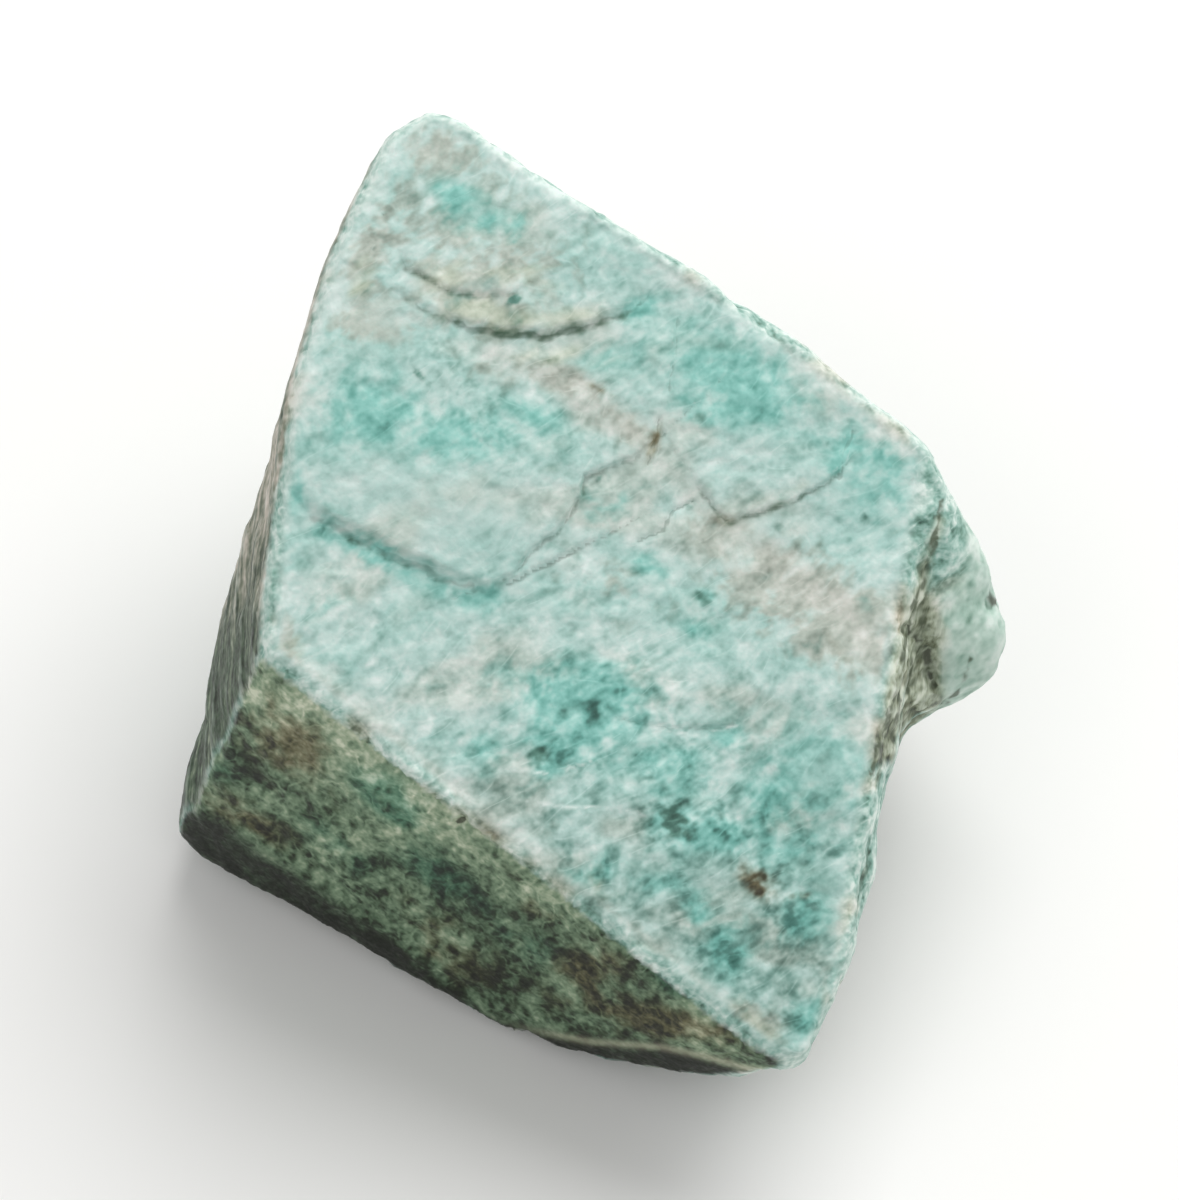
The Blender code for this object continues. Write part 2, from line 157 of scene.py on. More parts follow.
# Patches of colour on the cleavage face: right, up, half length, half width, turn in degrees and strength.
TEAL_PATCHES = [
    (-12.8, 12.5, 3.6, 2.3, 0, 0.8), (-7.5, 11.1, 2.8, 1.6, 0, 0.8), (-2.8, 12.3, 1.9, 1.2, -20, 0.7),
    (-7.9, 25.6, 1.5, 0.8, -10, 0.9), (-5.6, 23.9, 3.2, 1.2, -10, 0.6), (3.2, 18.7, 1.4, 0.7, 25, 0.9),
    (1.4, 16.0, 2.0, 1.2, 0, 0.5), (9.0, 14.6, 4.6, 2.3, -25, 1.0), (6.8, 12.5, 1.5, 1.0, 0, 0.7),
    (17.2, 8.9, 2.9, 2.6, -45, 0.6), (15.3, 10.3, 1.4, 0.5, 65, 0.8), (-17.3, 8.0, 0.7, 1.4, 20, 0.9),
    (-12.0, 3.9, 4.8, 0.8, -27, 1.0), (-15.3, 0.9, 1.6, 1.0, 10, 0.5), (-6.0, 1.7, 1.6, 0.7, 0, 0.6),
    (3.8, 3.3, 1.6, 0.8, -30, 0.6), (7.0, 1.5, 0.6, 0.5, 0, 1.0), (6.8, -0.2, 1.2, 0.7, 0, 0.7),
    (0.0, -5.2, 3.8, 3.0, 10, 1.0), (-2.5, -8.1, 1.0, 1.0, 0, 0.9), (-6.2, -7.4, 1.5, 1.2, 0, 0.6),
    (5.0, -8.7, 2.5, 1.5, 0, 0.8), (5.2, -12.0, 1.7, 1.5, 0, 1.0), (7.9, -12.5, 2.2, 1.3, 0, 0.9),
    (8.5, -6.8, 1.2, 0.9, 0, 0.8), (14.0, -8.8, 3.2, 3.2, -20, 0.6), (0.5, -14.4, 2.3, 1.3, 25, 0.5),
    (6.5, -16.9, 1.1, 1.0, 0, 0.7), (8.4, -19.3, 1.6, 2.3, 0, 0.8), (13.2, -17.4, 2.0, 2.0, 0, 0.75),
    (13.4, -23.3, 1.5, 1.6, -20, 0.8), (1.4, 6.6, 2.0, 1.4, 0, 0.4), (-2.6, -4.4, 3.0, 1.6, -25, 0.5),
    (10.8, -10.4, 1.8, 1.8, 0, 0.7), (11.6, -13.6, 2.4, 1.2, 15, 0.6), (4.2, -15.4, 1.8, 0.9, 0, 0.6),
]
PALE_PATCHES = [
    (-10.9, 18.2, 3.4, 1.3, 0, 0.7), (-9.0, 7.1, 5.7, 2.1, -25, 0.6), (-14.2, 3.0, 1.1, 0.8, 0, 0.9),
    (-9.0, -1.4, 5.7, 2.3, -30, 0.55), (0.7, -0.5, 3.8, 1.3, -10, 0.8), (6.2, -4.8, 2.5, 2.9, 0, 0.5),
    (10.7, -5.5, 2.5, 1.3, 15, 0.6), (16.1, -5.7, 0.7, 1.5, 0, 0.6), (0.3, -12.3, 3.0, 1.3, 0, 0.2),
    (14.0, -8.8, 2.2, 2.0, 0, 0.7), (7.6, -14.6, 2.1, 1.3, 0, 0.8), (14.7, -19.0, 1.2, 0.9, 10, 0.7),
    (9.1, -18.6, 0.8, 0.6, 0, 0.7), (10.9, 9.0, 2.9, 1.3, 0, 0.5), (-5.2, 19.9, 4.2, 1.1, -5, 0.4),
    (14.3, -17.1, 1.6, 1.4, 0, 0.5),
]
WARM_PATCHES = [
    (-13.0, 21.9, 1.7, 3.2, -20, 0.7), (-6.9, 19.2, 3.4, 1.5, -15, 0.8), (-0.9, 14.4, 2.5, 0.9, -30, 0.6),
    (2.9, 11.4, 2.5, 1.3, -35, 0.6), (7.9, 5.5, 2.7, 1.3, -20, 0.7), (15.7, -0.5, 3.2, 3.0, -45, 0.9),
    (10.6, 2.6, 3.4, 1.9, -30, 0.7), (1.9, -0.5, 3.4, 0.9, -5, 0.4), (10.0, -23.4, 2.7, 1.2, -20, 0.8),
    (-0.9, -11.9, 2.3, 0.9, 0, 0.35), (-17.6, -0.9, 0.9, 2.7, 10, 0.6), (2.0, 2.4, 4.2, 1.3, -15, 0.4),
    (-6.0, 22.6, 7.0, 4.5, -30, 0.7), (12.0, 2.0, 6.5, 3.8, -35, 0.5), (-4.0, 14.6, 4.0, 1.2, -10, 0.4),
    (0.5, 3.6, 3.5, 2.6, 0, 0.2), (14.5, -21.5, 1.6, 2.6, 10, 0.5), (9.9, -15.2, 3.0, 1.8, 0, 0.4),
    (-9.0, 28.5, 3.0, 2.0, 0, 0.6), (-12.5, 17.8, 3.0, 1.4, 0, 0.8),
]
OLIVE_PATCHES = [
    (-6.0, 18.4, 3.4, 1.2, -22, 0.9), (-3.6, 20.6, 2.6, 1.0, -8, 0.7), (-1.6, 18.2, 3.0, 0.7, 8, 0.9),
    (-1.5, 15.8, 3.6, 0.8, 0, 0.6), (-8.6, 20.4, 1.6, 2.2, -30, 0.6), (-13.4, 20.6, 1.0, 2.4, -10, 0.6),
    (11.4, 7.4, 2.2, 0.8, 15, 0.5), (-17.2, -1.6, 1.0, 1.2, 0, 0.6), (0.4, -15.0, 1.4, 0.9, -40, 0.5),
    (9.6, -23.6, 2.4, 1.2, -20, 0.9),
]
RUST_PATCHES = [
    (10.1, -15.3, 1.5, 1.0, -40, 1.0), (12.6, -16.1, 1.1, 0.3, 0, 0.6), (4.0, 10.7, 0.4, 1.2, -20, 0.9),
    (8.3, 6.2, 0.9, 0.6, 0, 0.5), (0.6, 14.0, 1.4, 0.3, -25, 0.5), (14.9, -1.4, 1.5, 0.5, -50, 0.4),
]
DARK_PATCHES = [
    (-7.1, 19.4, 1.5, 0.3, -8, 0.6), (-4.3, 19.2, 0.6, 0.3, 20, 1.0), (11.5, 5.7, 0.5, 0.4, 0, 0.55),
    (16.6, 6.2, 0.4, 0.5, 0, 0.55), (-2.8, -7.9, 0.8, 0.7, 0, 0.9), (5.0, -11.8, 2.1, 1.5, 0, 1.0),
    (-13.0, -6.9, 0.3, 0.2, 0, 1.0), (-7.3, -11.6, 0.4, 0.3, 0, 1.0), (6.9, 1.5, 0.8, 0.7, 0, 0.7),
    (6.7, 12.3, 0.8, 0.6, 0, 0.5), (6.2, 7.1, 0.5, 0.4, 0, 0.7), (14.4, 10.9, 0.3, 0.9, -20, 0.5),
    (-12.6, 4.3, 3.6, 0.3, -26, 0.7), (0.9, 8.6, 0.4, 0.5, 0, 0.6), (-9.7, 14.6, 1.0, 0.3, -45, 0.7),
    (3.4, -9.2, 0.9, 0.6, 0, 0.5), (8.2, -11.4, 0.7, 0.5, 0, 0.5), (0.0, -5.4, 2.6, 1.6, 0, 0.4),
]
# Where the cleavage is smooth, so that little of its texture shows.
CALM_PATCHES = [
    (-9.0, 7.0, 6.2, 3.4, -20, 1.0), (-12.0, 18.0, 3.5, 2.0, 0, 0.7), (16.0, 8.5, 3.0, 3.2, 0, 0.6),
    (-6.0, 25.0, 4.0, 3.0, -30, 0.5), (13.8, -8.0, 3.0, 3.6, 0, 0.9), (14.3, -17.1, 2.0, 2.4, 0, 0.5),
]
# A pinkish vein crosses the face.
VEIN = [
    (-5.2, 16.1), (-1.4, 14.4), (1.4, 12.3), (4.3, 10.0), (7.1, 6.7), (10.9, 4.3), (15.7, 0.9), (18.1, -2.9),
]
VEIN_HALF_WIDTH = 1.5

# Patches on the front fracture.
BROWN_PATCHES = [
    (-17.6, -7.2, 3.2, 2.0, -40, 0.7), (0.3, -20.4, 2.2, 1.5, 0, 0.8), (4.3, -23.6, 5.0, 1.2, -12, 0.8),
    (-8.1, -19.5, 4.2, 1.9, -38, 0.5), (-20.5, -11.4, 3.4, 1.2, -38, 0.6), (-3.2, -16.7, 2.4, 0.9, -38, 0.4),
]
GREEN_PATCHES = [
    (-11.7, -10.4, 3.4, 1.4, -40, 0.9), (-21.9, -9.0, 1.4, 2.4, 20, 0.5), (-14.9, -13.4, 3.0, 1.0, -40, 0.5),
    (-3.3, -19.0, 3.4, 1.3, -38, 0.5), (-8.6, -15.2, 3.2, 1.2, -38, 0.6), (4.9, -21.4, 2.1, 0.6, -38, 0.5),
]
# Where shade is painted on the front fracture.
FRONT_SHADE_PATCHES = [(-20.0, -8.2, 4.2, 3.0, -30, 1.0), (4.5, -24.0, 3.5, 1.4, -12, 0.4)]

# The names under which the material reads the patches, on the cleavage face and on the front fracture.
PATCH_LISTS = {
    "teal": TEAL_PATCHES, "pale": PALE_PATCHES, "warm": WARM_PATCHES, "olive": OLIVE_PATCHES,
    "rust": RUST_PATCHES, "dark": DARK_PATCHES,
}
FRONT_PATCH_LISTS = {"brown": BROWN_PATCHES, "green": GREEN_PATCHES, "front_shade": FRONT_SHADE_PATCHES}
# The surfaces that have colours of their own. All the rest is broken feldspar.
COLOURED_SURFACES = ("face", "front", "left", "knob", "joint")

# The camera looks at the middle of the lump from the chart's own direction. Right, up and height are of the
# point that it looks at, and the span is what its picture takes in from top to bottom.
VIEW_RIGHT = 0.2
VIEW_UP = 1.4
VIEW_HEIGHT = 18.0
VIEW_SPAN = 71.7
CAMERA_DISTANCE = 1000.0
SENSOR = 36.0


def chart(places):
    """Right and up on the chart of places given in millimetres."""
    right = places[:, 0] - CHART_X
    up = (places[:, 1] - CHART_Y) * math.sin(CHART_ELEVATION) + places[:, 2] * math.cos(CHART_ELEVATION)
    return right, up


def face_plane():
    """The cleavage face's direction, and its distance from the origin along it."""
    slope = Vector((
        -FACE_CLIMB_RIGHT,
        -FACE_CLIMB_UP * math.sin(CHART_ELEVATION),
        1.0 - FACE_CLIMB_UP * math.cos(CHART_ELEVATION),
    ))
    offset = FACE_HEIGHT + slope.x * CHART_X + slope.y * CHART_Y
    return slope.normalized(), offset / slope.length


def axes_along(direction, off):
    """Three directions at right angles, as columns: along, across and off a surface."""
    off = Vector(off).normalized()
    along = (Vector(direction) - off * off.dot(direction)).normalized()
    return Matrix((along, off.cross(along), off)).transposed()


FACE_DIRECTION, FACE_OFFSET = face_plane()
FACE_AXES = axes_along((1.0, 0.0, 0.0), FACE_DIRECTION)
# The grain of the feldspar climbs across the cleavage face to the right.
GRAIN_AXES = axes_along((0.82, 0.57, 0.0), FACE_DIRECTION)
FRONT_AXES = axes_along(FACE_DIRECTION.cross(Vector(FRONT_FRACTURE)), FRONT_FRACTURE)
LEFT_AXES = axes_along(FACE_DIRECTION.cross(Vector(LEFT_CLEAVAGE)), LEFT_CLEAVAGE)
BACK_AXES = axes_along(FACE_DIRECTION.cross(Vector(BACK_FRACTURE)), BACK_FRACTURE)

# The joint beside the knob runs down in this direction, which also gives the way that its streaks run.
JOINT_AXES = axes_along((-0.25, -1.0, -0.3), TOWARDS_CHART)

# Relief in layers: the size of the forms along, across and off the surface, and their height, all in mm.
FACE_LAYERS = [((2.4, 1.6, 1.6), 0.035), ((0.9, 0.7, 0.7), 0.030)]
FACE_FLAKES = [((6.0, 3.4, 3.4), 0.07), ((2.6, 1.6, 1.6), 0.030)]
FRONT_LAYERS = [((3.0, 3.4, 1.8), 0.12), ((1.3, 1.9, 0.9), 0.10)]
LEFT_LAYERS = [((9.0, 0.9, 1.2), 0.14), ((2.0, 0.6, 0.6), 0.06)]
KNOB_LAYERS = [((2.2, 1.6, 1.6), 0.10), ((0.8, 0.6, 0.6), 0.04)]
JOINT_LAYERS = [((2.0, 0.8, 0.8), 0.14), ((0.7, 0.5, 0.5), 0.06)]
BROKEN_LAYERS = [((1.8, 1.4, 1.4), 0.18), ((1.1, 0.9, 0.9), 0.06)]
# Fractal noise: how fast its finer forms weaken, how much finer each is than the last, and their number.
RELIEF_FRACTAL = (1.0, 2.0, 3)
FLAKE_FRACTAL = (1.0, 2.0, 2)
# How steeply the edges of the flakes fall.
FLAKE_EDGE = 5.0
# The broken blocks' size and height, and the rounds of evening that wear their edges.
BLOCK_SIZE = (2.6, 1.9, 0.9)
BLOCK_HEIGHT = 0.28
BLOCK_WEAR = 3

# Waves: the size of their forms, and how high or how far they reach, all in mm.
FACE_WAVES = (13.0, 0.30)
LONG_BENDS = (1.7, 0.30)
SHORT_BENDS = (0.6, 0.12)
BLOCK_BENDS = (2.5, 0.5)
PIT_RAGS_RIGHT = (0.7, 0.40)
PIT_RAGS_UP = (0.8, 0.55)
SEAM_BENDS = (0.9, 0.25)
LEFT_SHADE_BENDS = (5.0, 3.0)
# Waves that bring something in and out: the size of their forms in mm, and how sharply they do so.
BLOCK_PATCHES = (8.0, 1.8)
JOINT_RAGS = (1.5, 0.5)
NICKS = (1.4, 2.5)
# How far off noise is read, where it shouldn't match the noise beside it.
BLOCK_SHIFT = 9.0
PIT_SHIFT = 5.0

# Ramps: where each starts and how far on it is full, in mm. A length below 0 makes it run the other way.
FACE_INSIDE = (0.3, 1.0)
FACE_ABOVE = (-2.0, 1.0)
KNOB_RIGHT = (20.6, 1.0)
KNOB_BELOW = (1.0, 1.5)
OFF_TABLE = (0.3, 0.8)
EDGE_STANDS = (0.08, 0.12)
BUSY_DOWN = (3.0, -12.0)
RIM_BELOW = (1.6, -1.2)
DEEPER_DOWN = (-2.0, -20.0)
BRINK_RIGHT = (-6.0, 6.0)
LOW_HEIGHT = (12.0, -4.0)
UNDER_HEIGHT = (9.0, -5.0)
TOE_HEIGHT = (1.6, -1.4)
# Ramps over how far a surface is turned in a direction, where 1 is square to it and 0 edge on.
SHOWN_TURN = (0.0, 0.25)
FRONT_TURN = (0.80, 0.12)
LEFT_TURN = (0.85, 0.12)
UNDER_TURN = (-0.15, -0.3)

# Half widths of the soft bands along the cleavage face's rim, along the ridge on the face and on the front,
# and along the front's lower edge.
RIM_BAND = 1.2
RIDGE_BAND = 1.9
CREST_BAND = 1.6
BRINK_BAND = 0.22
# How softly the painted shade under that edge starts, and where and how softly the left side's painted shade
# does.
LOW_FADE = 1.4
LEFT_SHADE_TOP = 11.0
LEFT_SHADE_FADE = 16.0
# How busy the cleavage face's texture is, how much more it is low down, and how much less where it is calm.
BUSY = 0.80
BUSY_MORE = 0.22
BUSY_LESS = 0.45

# Rounds of evening that give a surface's broad direction, and those that an edge stands out from.
BROAD_ROUNDS = 6
EDGE_ROUNDS = 8
# How much of an edge wears off, and how deep the nicks in it are.
EDGE_LOSS = 0.6
NICK_DEPTH = 0.10
# Hollows, small and broad: the rounds of evening that find them, and the depth that counts in full. The
# material paints shade in them, and a painted highlight on the bumps between the small ones.
SMALL_HOLLOW = (4, 0.05)
BROAD_HOLLOW = (24, 0.25)

# How much deeper each shade of the stone lies than the one before it.
SHADE_STEP = 0.25
# The slow bends of the stone's patterns: their size, and how far they move a pattern.
DRIFT_SIZE = 6.0
DRIFT_REACH = 3.0

# The board under the stone, and the height above it that the lights face, in metres.
FLOOR_SIZE = 6.0
LIT_HEIGHT = 0.015


def smooth_step(x):
    """An even ramp from 0 to 1 with soft ends."""
    x = np.clip(x, 0.0, 1.0)
    return x * x * (3.0 - 2.0 * x)


def ramp(values, start, length):
    """From 0 where the values pass the start to 1 a length further on, with soft ends."""
    return smooth_step((values - start) / length)


def band(distance, half_width):
    """1 on a line, and softly less beside it."""
    return np.exp(-((distance / half_width) ** 2))


def sample(places, size, function=noise.noise, *settings):
    """A noise function's value at each place. The size of its forms is in millimetres, for all axes or for
    each."""
    return np.array([function(Vector(place), *settings) for place in places / np.array(size)])


def waves(places, size, strength):
    """Smooth waves with forms of this size."""
    return strength * sample(places, size)


def layered(places, axes, layers):
    """Layers of soft relief over a surface with these axes."""
    turned = places @ np.array(axes)
    return sum(height * sample(turned, size, noise.fractal, *RELIEF_FRACTAL) for size, height in layers)


def line_field(right, up, line):
    """Distance to a line, its side, 1 on the left and -1 on the right, the line's own values beside it, and a
    softer distance without creases."""
    nearest = np.full(right.shape, 1e9)
    side = np.zeros(right.shape)
    weights = np.zeros(right.shape)
    values = np.zeros(right.shape)
    for start, end in zip(line, line[1:]):
        run_r, run_u = end[0] - start[0], end[1] - start[1]
        length = math.hypot(run_r, run_u)
        along = np.clip(((right - start[0]) * run_r + (up - start[1]) * run_u) / length**2, 0.0, 1.0)
        distance = np.hypot(right - start[0] - along * run_r, up - start[1] - along * run_u)
        off_line = ((up - start[1]) * run_r - (right - start[0]) * run_u) / length
        closer = distance < nearest
        nearest = np.where(closer, distance, nearest)
        side = np.where(closer, np.sign(off_line), side)
        weight = length * np.exp(-distance / LEDGE_BLEND) + 1e-30
        weights += weight
        if len(start) > 2:
            values += weight * (start[2] + (end[2] - start[2]) * along)
    away = np.maximum(-LEDGE_BLEND * np.log(weights / LEDGE_BLEND), 0.0)
    return nearest, side, values / weights, away


def inside_outline(right, up, corners):
    """Distance in from an outline, which is below 0 outside it."""
    loop = corners + corners[:1]
    nearest = line_field(right, up, loop)[0]
    crossings = np.zeros(right.shape, bool)
    for (r0, u0), (r1, u1) in zip(loop, loop[1:]):
        spans = (u0 > up) != (u1 > up)
        crossings ^= spans & (right < r0 + (r1 - r0) * (up - u0) / (u1 - u0 + 1e-12))
    return np.where(crossings, nearest, -nearest)


def patch_field(right, up, patches):
    """Soft ovals, joined without adding up past 1."""
    bare = np.ones(right.shape)
    for r, u, half_length, half_width, turn, strength in patches:
        cosine, sine = math.cos(math.radians(turn)), math.sin(math.radians(turn))
        along = ((right - r) * cosine + (up - u) * sine) / half_length
        across = ((up - u) * cosine - (right - r) * sine) / half_width
        bare *= 1.0 - strength * np.exp(-(along**2 + across**2))
    return 1.0 - bare


class Skin:
    """The stone's mesh as arrays in millimetres."""

    def __init__(self, mesh):
        self.mesh = mesh
        count = len(mesh.vertices)
        self.places = np.empty(count * 3)
        mesh.vertices.foreach_get("co", self.places)
        self.places = self.places.reshape(count, 3) / MM
        edges = np.empty(len(mesh.edges) * 2, int)
        mesh.edges.foreach_get("vertices", edges)
        self.edges = edges.reshape(-1, 2)
        self.neighbours = np.bincount(edges, minlength=count)

    def store(self):
        self.mesh.vertices.foreach_set("co", (self.places * MM).ravel())
        self.mesh.update()

    def normals(self):
        self.store()
        found = np.empty(len(self.places) * 3)
        self.mesh.vertices.foreach_get("normal", found)
        return found.reshape(-1, 3)

    def evened(self, values, rounds):
        """Values averaged with their neighbours', over and over."""
        count = len(values)
        first, second = self.edges[:, 0], self.edges[:, 1]
        columns = values.reshape(count, -1).T
        for _ in range(rounds):
            columns = np.array([
                (
                    np.bincount(first, column[second], count) + np.bincount(second, column[first], count)
                ) / self.neighbours * 0.5 + column * 0.5
                for column in columns
            ])
        return columns.T.reshape(values.shape)

    def sunk(self, rounds, full):
        """How far each vertex lies in below its surroundings: 0.5 where it is level, 1 at the full depth."""
        depth = np.einsum("ij,ij->i", self.evened(self.places, rounds) - self.places, self.normals())
        return np.clip(depth / full, -1.0, 1.0) * 0.5 + 0.5

    def note(self, name, values):
        """Keeps a value for each vertex under a name that the material reads."""
        kept = self.mesh.attributes.new(name, "FLOAT", "POINT")
        kept.data.foreach_set("value", values.astype(np.float32))


def settle(target):
    """Makes the modifiers' result the object's own mesh."""
    evaluated = target.evaluated_get(bpy.context.evaluated_depsgraph_get())
    mesh = bpy.data.meshes.new_from_object(evaluated)
    target.modifiers.clear()
    target.data = mesh


def even_skin(node):
    """A closed skin of small even faces over the solid, finer where the stone shows most."""
    stone = bpy.data.objects.new("rough_amazonite", node.data.copy())
    bpy.context.scene.collection.objects.link(stone)
    skin = stone.modifiers.new("even skin", "REMESH")
    skin.mode = "VOXEL"
    skin.voxel_size = SKIN_VOXEL * MM
    wear = stone.modifiers.new("worn facets", "SMOOTH")
    wear.factor = 0.5
    wear.iterations = SKIN_SMOOTHING
    settle(stone)
    shape = bmesh.new()
    shape.from_mesh(stone.data)
    front = Vector(FRONT_FRACTURE).normalized()
    shown = set()
    for face in shape.faces:
        if max(face.normal.dot(FACE_DIRECTION), face.normal.dot(front)) > FINER_ABOVE:
            shown.update(face.edges)
    bmesh.ops.subdivide_edges(shape, edges=sorted(shown, key=lambda e: e.index), cuts=1, use_grid_fill=True)
    bmesh.ops.triangulate(shape, faces=shape.faces)
    shape.to_mesh(stone.data)
    shape.free()
    return stone


def flakes(places):
    """Thin flat-topped flakes that the cleavage has left."""
    turned = places @ np.array(FACE_AXES)
    return sum(
        height * smooth_step(0.5 + FLAKE_EDGE * sample(turned, size, noise.fractal, *FLAKE_FRACTAL))
        for size, height in FACE_FLAKES
    )


def cleave_face(skin):
    """Lays the cleavage face on its plane, with its ledges, flakes and cracks. Gives where it is, how far in
    from its outline each vertex lies, and where its ledges get a painted shadow at the foot and a painted
    highlight on the brow."""
    direction = np.array(FACE_DIRECTION)
    height = skin.places @ direction - FACE_OFFSET
    level = skin.places - height[:, None] * direction
    right, up = chart(level)
    inside = inside_outline(right, up, FACE_OUTLINE)
    on_face = ramp(inside, *FACE_INSIDE) * ramp(height, *FACE_ABOVE)
    chosen = on_face > 0.0
    spots = level[chosen]
    bends = waves(spots, *LONG_BENDS) + waves(spots, *SHORT_BENDS)
    target = waves(spots - np.array((CHART_X, CHART_Y, 0.0)), *FACE_WAVES)
    target += flakes(spots) + layered(spots, FACE_AXES, FACE_LAYERS)
    foot = np.zeros(len(skin.places))
    brow = np.zeros(len(skin.places))
    for line, slope, riser, darkness in LEDGES:
        nearest, side, steps, away = line_field(right[chosen], up[chosen], line)
        off = side * nearest + bends
        target += steps * smooth_step(off / riser + 0.5) * band(away, slope)
        # A painted shadow at each ledge's foot, and a painted highlight on its brow.
        foot[chosen] += darkness * steps * band(off + 0.5 * riser, LEDGE_FOOT)
        brow[chosen] += steps * band(off - 0.5 * riser - LEDGE_BROW, LEDGE_BROW)
    for line, half_width, depth in CRACKS:
        nearest = line_field(right[chosen], up[chosen], line)[0] + CRACK_BEND * bends
        target -= depth * band(nearest, half_width)
    skin.places[chosen] += ((target - height[chosen]) * on_face[chosen])[:, None] * direction
    return on_face, inside, np.clip(foot, 0.0, 1.0), np.clip(brow, 0.0, 1.0)


def broken_blocks(places):
    """Small blocks that the stone breaks into along its cleavages, in patches."""
    cells = np.column_stack((places @ np.array(LEFT_AXES)[:, [0, 2]], places @ np.array(FACE_DIRECTION)))
    cells += waves(places, *BLOCK_BENDS)[:, None]
    patch = smooth_step(0.5 + waves(places + BLOCK_SHIFT, *BLOCK_PATCHES))
    return BLOCK_HEIGHT * patch * sample(cells, BLOCK_SIZE, noise.cell)


def pit_fields(skin, tightness=1.0):
    """How far each vertex lies into each pit. The pits are ragged, and longer along the joint than across."""
    right, up = chart(skin.places)
    right = right + waves(skin.places, *PIT_RAGS_RIGHT)
    up = up + waves(skin.places + PIT_SHIFT, *PIT_RAGS_UP)
    return [
        (np.exp(-((right - r) ** 2 + (PIT_STRETCH * (up - u)) ** 2) / (tightness * radius) ** 2), depth)
        for r, u, radius, depth in PITS
    ]


def surface_masks(skin, on_face):
    """Where each kind of surface lies, from 0 to 1."""
    broad = skin.evened(skin.normals(), BROAD_ROUNDS)
    broad /= np.linalg.norm(broad, axis=1)[:, None]
    right, up = chart(skin.places)
    below = FACE_OFFSET - skin.places @ np.array(FACE_DIRECTION)
    elsewhere = 1.0 - on_face
    shows = ramp(broad @ np.array(TOWARDS_CHART), *SHOWN_TURN)
    front = ramp(broad @ np.array(FRONT_AXES)[:, 2], *FRONT_TURN) * elsewhere
    left = ramp(broad @ np.array(LEFT_AXES)[:, 2], *LEFT_TURN) * elsewhere
    knob = ramp(right, *KNOB_RIGHT) * ramp(below, *KNOB_BELOW) * elsewhere
    ragged = inside_outline(right, up, JOINT_OUTLINE) / JOINT_FADE + 0.5 + waves(skin.places, *JOINT_RAGS)
    joint = smooth_step(ragged) * shows * elsewhere
    return {"face": on_face, "front": front, "left": left, "knob": knob, "joint": joint, "shows": shows}


def roughen(skin, masks):
    """The relief of all but the cleavage face."""
    elsewhere = 1.0 - masks["face"]
    smoother = np.max([masks[name] for name in ("front", "left", "knob")], axis=0)
    blocks = skin.evened(broken_blocks(skin.places), BLOCK_WEAR)
    out = elsewhere * (1.0 - smoother) * (blocks + layered(skin.places, BACK_AXES, BROKEN_LAYERS))
    out += masks["front"] * layered(skin.places, FRONT_AXES, FRONT_LAYERS)
    out += masks["left"] * layered(skin.places, LEFT_AXES, LEFT_LAYERS)
    out += masks["knob"] * layered(skin.places, FACE_AXES, KNOB_LAYERS)
    out += masks["joint"] * layered(skin.places, JOINT_AXES, JOINT_LAYERS)
    out -= sum(depth * pit for pit, depth in pit_fields(skin)) * masks["shows"]
    skin.places += skin.normals() * (out * ramp(skin.places[:, 2], *OFF_TABLE))[:, None]


def nick_edges(skin):
    """Worn and chipped edges: what stands out past its surroundings loses a little, here and there."""
    evened = skin.evened(skin.places, EDGE_ROUNDS)
    normals = skin.normals()
    sharp = ramp(np.einsum("ij,ij->i", skin.places - evened, normals), *EDGE_STANDS)
    bite = smooth_step(0.5 + waves(skin.places, *NICKS)) * NICK_DEPTH
    skin.places += (evened - skin.places) * (EDGE_LOSS * sharp)[:, None] - normals * (sharp * bite)[:, None]


